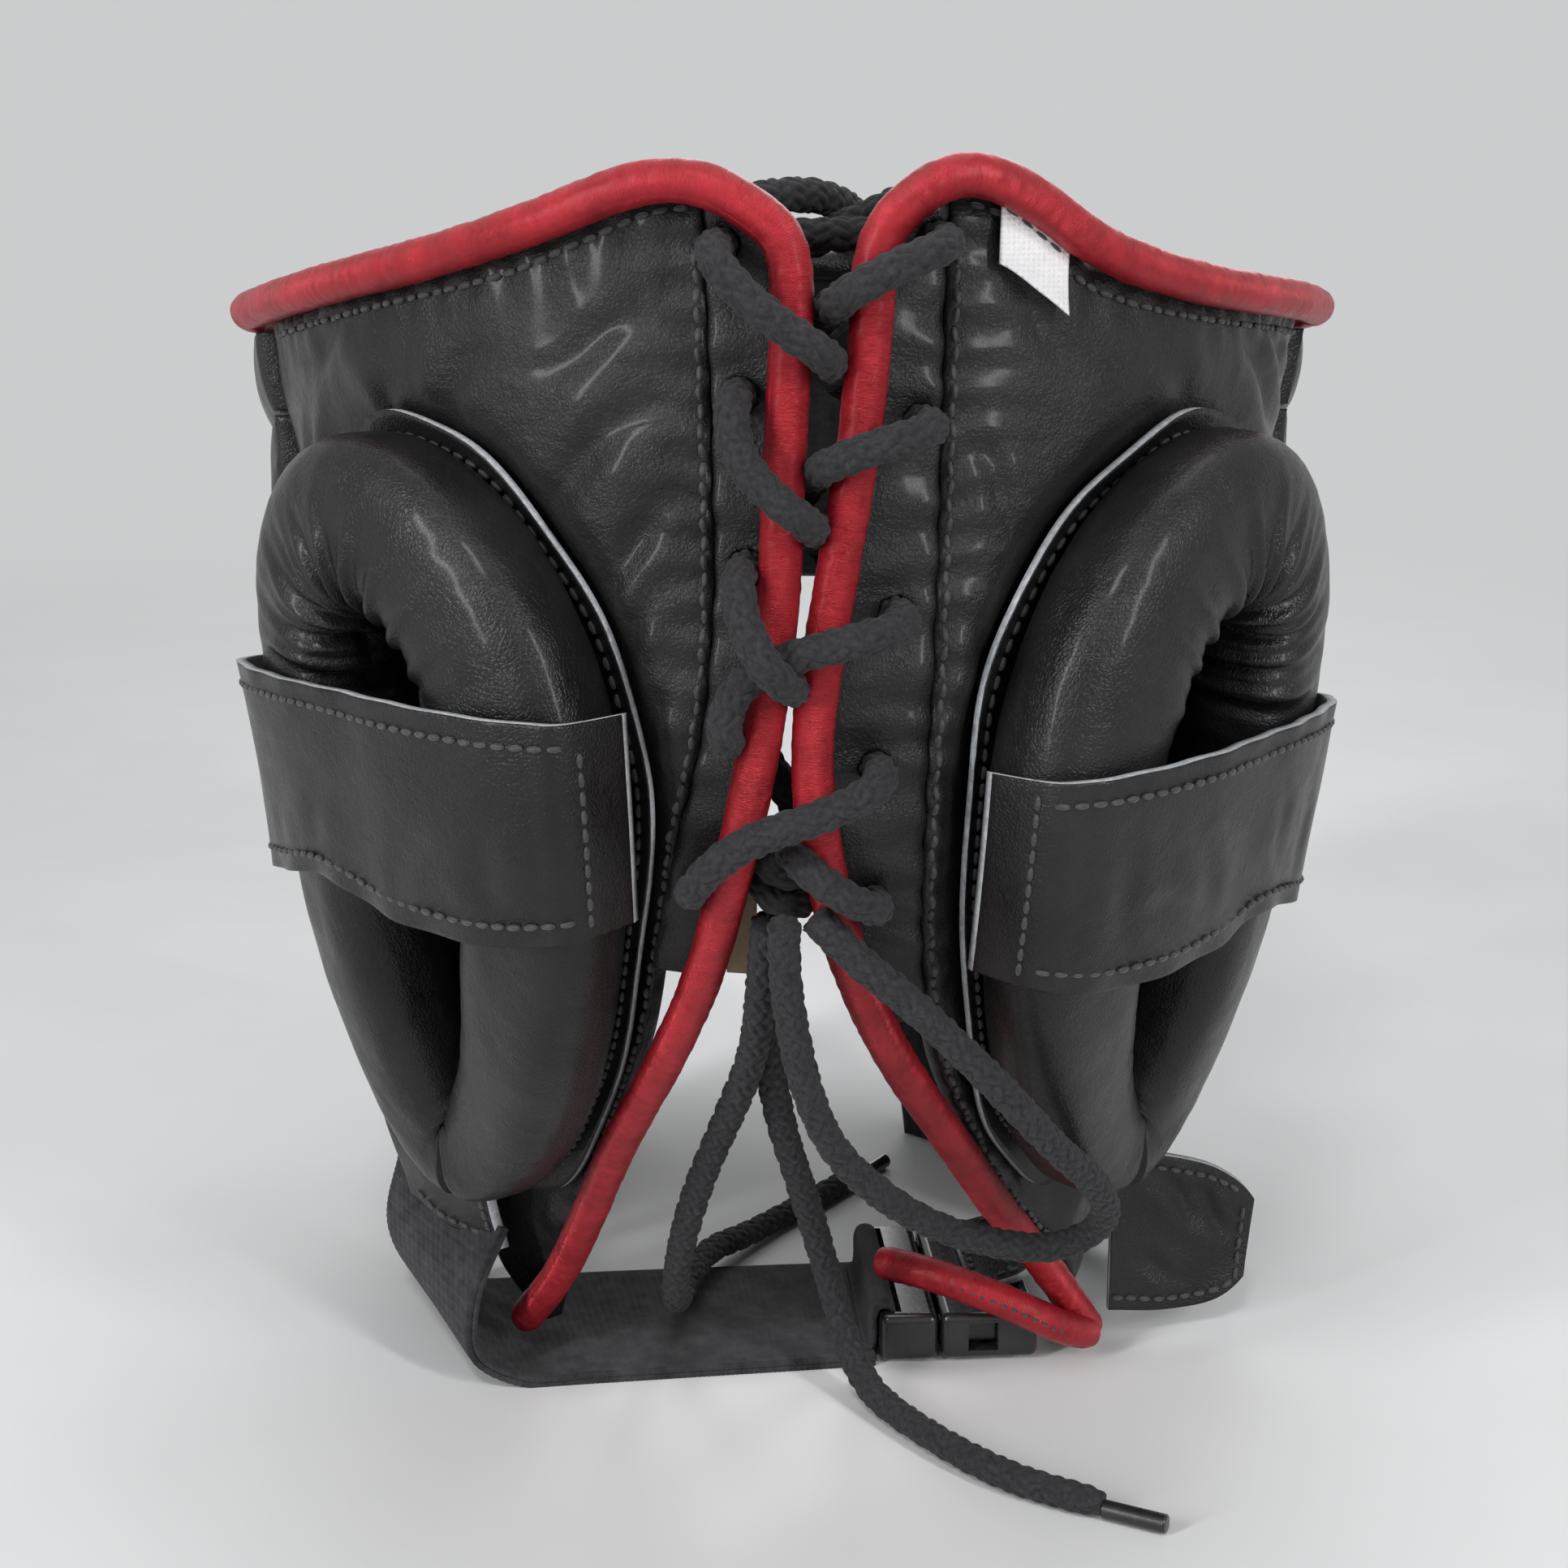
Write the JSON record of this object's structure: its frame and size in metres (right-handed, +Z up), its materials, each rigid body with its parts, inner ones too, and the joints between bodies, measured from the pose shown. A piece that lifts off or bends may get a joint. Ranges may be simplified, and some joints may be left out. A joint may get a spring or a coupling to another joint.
{
  "type": "boxing headgear",
  "caption": "Padded leather boxing headgear with cheek pads, padded ear guards, a laced back with red binding and an elastic chin strap with a side-release buckle.",
  "frame": {"origin": "on the floor under the middle of the headgear, free laces left out", "axes": "+X to the wearer's right, +Y to the face side, +Z up"},
  "size_m": [0.237, 0.2639, 0.2622],
  "materials": {
    "black_leather": "semi-gloss grained",
    "suede_edge": "raw split leather",
    "red_binding": "satin",
    "lining": "matt",
    "foam": "matt",
    "lace": "braided",
    "lace_tip": "smooth",
    "elastic": "ribbed",
    "black_plastic": "gloss",
    "white_label": "woven",
    "tan_patch": "matt"
  },
  "bodies": {
    "root": {"left_side_leather": "black_leather", "left_cheek_leather": "black_leather", "left_ear_roll": "black_leather", "left_ear_band": "black_leather", "left_lace_facing": "black_leather", "left_side_foam": "foam", "left_cheek_foam": "foam", "left_side_lining": "lining", "left_cheek_lining": "lining", "left_ear_base": "suede_edge", "left_edge_piping": "red_binding", "right_side_leather": "black_leather", "right_cheek_leather": "black_leather", "right_ear_roll": "black_leather", "right_ear_band": "black_leather", "right_lace_facing": "black_leather", "right_side_foam": "foam", "right_cheek_foam": "foam", "right_side_lining": "lining", "right_cheek_lining": "lining", "right_ear_base": "suede_edge", "right_edge_piping": "red_binding", "forehead_leather": "black_leather", "crown_tongue": "black_leather", "left_chin_tab": "black_leather", "buckle_strap": "black_leather", "forehead_foam": "foam", "forehead_lining": "lining", "front_rim_piping": "red_binding", "right_piping_tail": "red_binding", "back_lace": "lace", "crown_lace": "lace", "lace_knot": "lace", "lace_loop": "lace", "lace_tail_long": "lace", "lace_tail_short": "lace", "aglet_long": "lace_tip", "aglet_short": "lace_tip", "chin_elastic_inner": "elastic", "chin_elastic_outer": "elastic", "buckle_socket": "black_plastic", "size_label": "white_label", "inner_patch": "tan_patch"},
    "buckle_plug": {"buckle_plug": "black_plastic"},
    "back_release_arm": {"back_release_arm": "black_plastic"},
    "front_release_arm": {"front_release_arm": "black_plastic"},
    "right_chin_tab": {"right_chin_tab": "black_leather"}
  },
  "joints": [
    {"name": "buckle_release", "type": "slide", "parent": "root", "child": "buckle_plug", "axis": [-1, 0, 0], "range_m": [0, 0.028], "deforming": ["chin_elastic_inner", "chin_elastic_outer"]},
    {"name": "back_arm_squeeze", "type": "hinge", "parent": "buckle_plug", "child": "back_release_arm", "pos_m": [0.0325, -0.0319, 0.0065], "axis": [0, 0, 1], "range_deg": [0, 5], "stiffness_Nm_per_rad": 0.3},
    {"name": "front_arm_squeeze", "type": "hinge", "parent": "buckle_plug", "child": "front_release_arm", "pos_m": [0.0325, 0.0071, 0.0065], "axis": [0, 0, -1], "range_deg": [0, 5], "stiffness_Nm_per_rad": 0.3},
    {"name": "chin_tab_fold", "type": "hinge", "parent": "root", "child": "right_chin_tab", "pos_m": [0.0695, -0.029, 0.028], "axis": [0, 0, 1], "range_deg": [-20, 25]}
  ]
}
